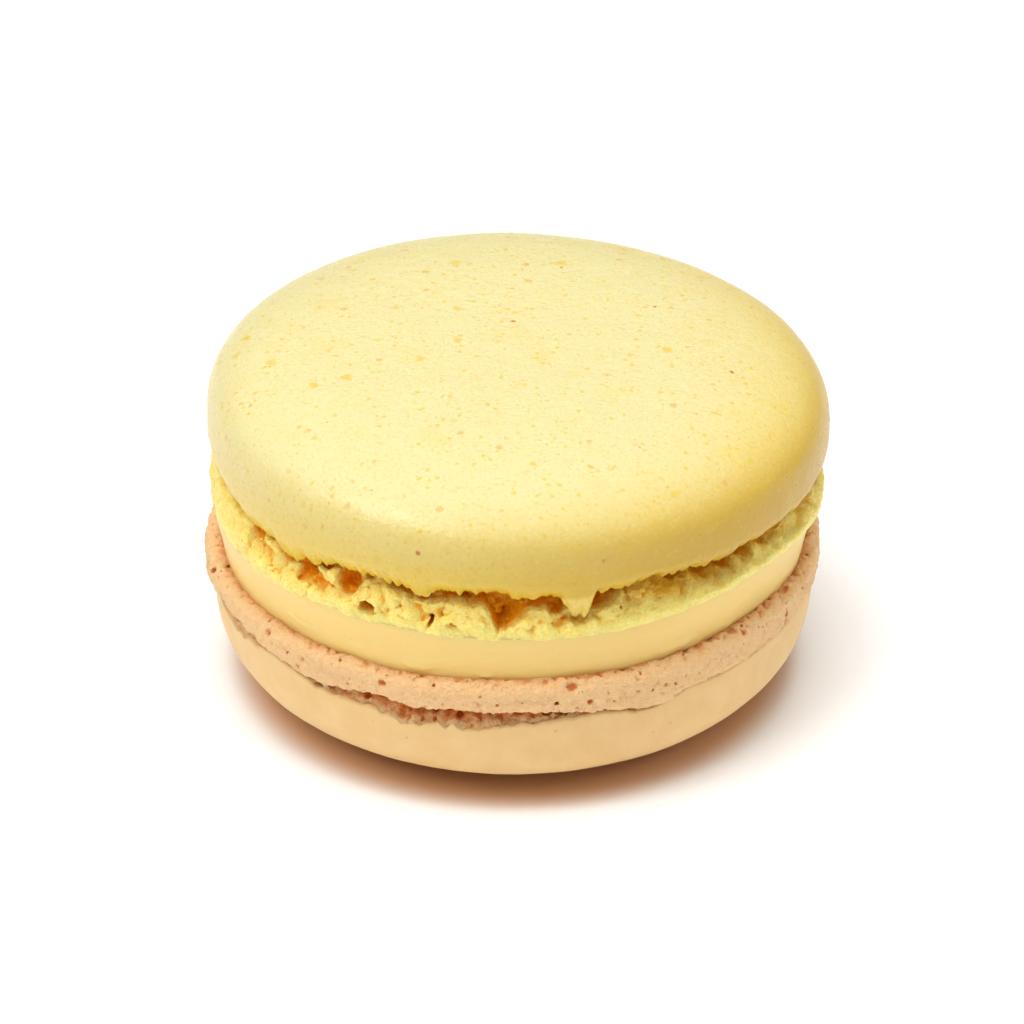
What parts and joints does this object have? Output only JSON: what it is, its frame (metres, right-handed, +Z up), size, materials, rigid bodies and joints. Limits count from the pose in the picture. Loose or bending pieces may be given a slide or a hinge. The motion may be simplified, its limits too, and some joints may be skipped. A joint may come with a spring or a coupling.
{
  "type": "macaron",
  "caption": "Round sandwich biscuit: a smooth lemon dome and a peach dome, each on a foamy foot, with a flat band of cream between.",
  "frame": {"origin": "middle of the flat spot under the lower shell, on the surface that the macaron stands on", "axes": "+Z up through both shells, -Y towards the front, +X to the right"},
  "size_m": [0.0461, 0.046, 0.0264],
  "materials": {
    "lemon_shell": "smooth, faintly satin baked almond crust with fine orange flecks, over a rough foamy foot",
    "cream": "smooth satin cream",
    "peach_shell": "matte baked almond crust, over a finely pitted foamy foot"
  },
  "bodies": {
    "root": {"upper_shell": "lemon_shell", "cream": "cream", "lower_shell": "peach_shell"}
  },
  "joints": []
}
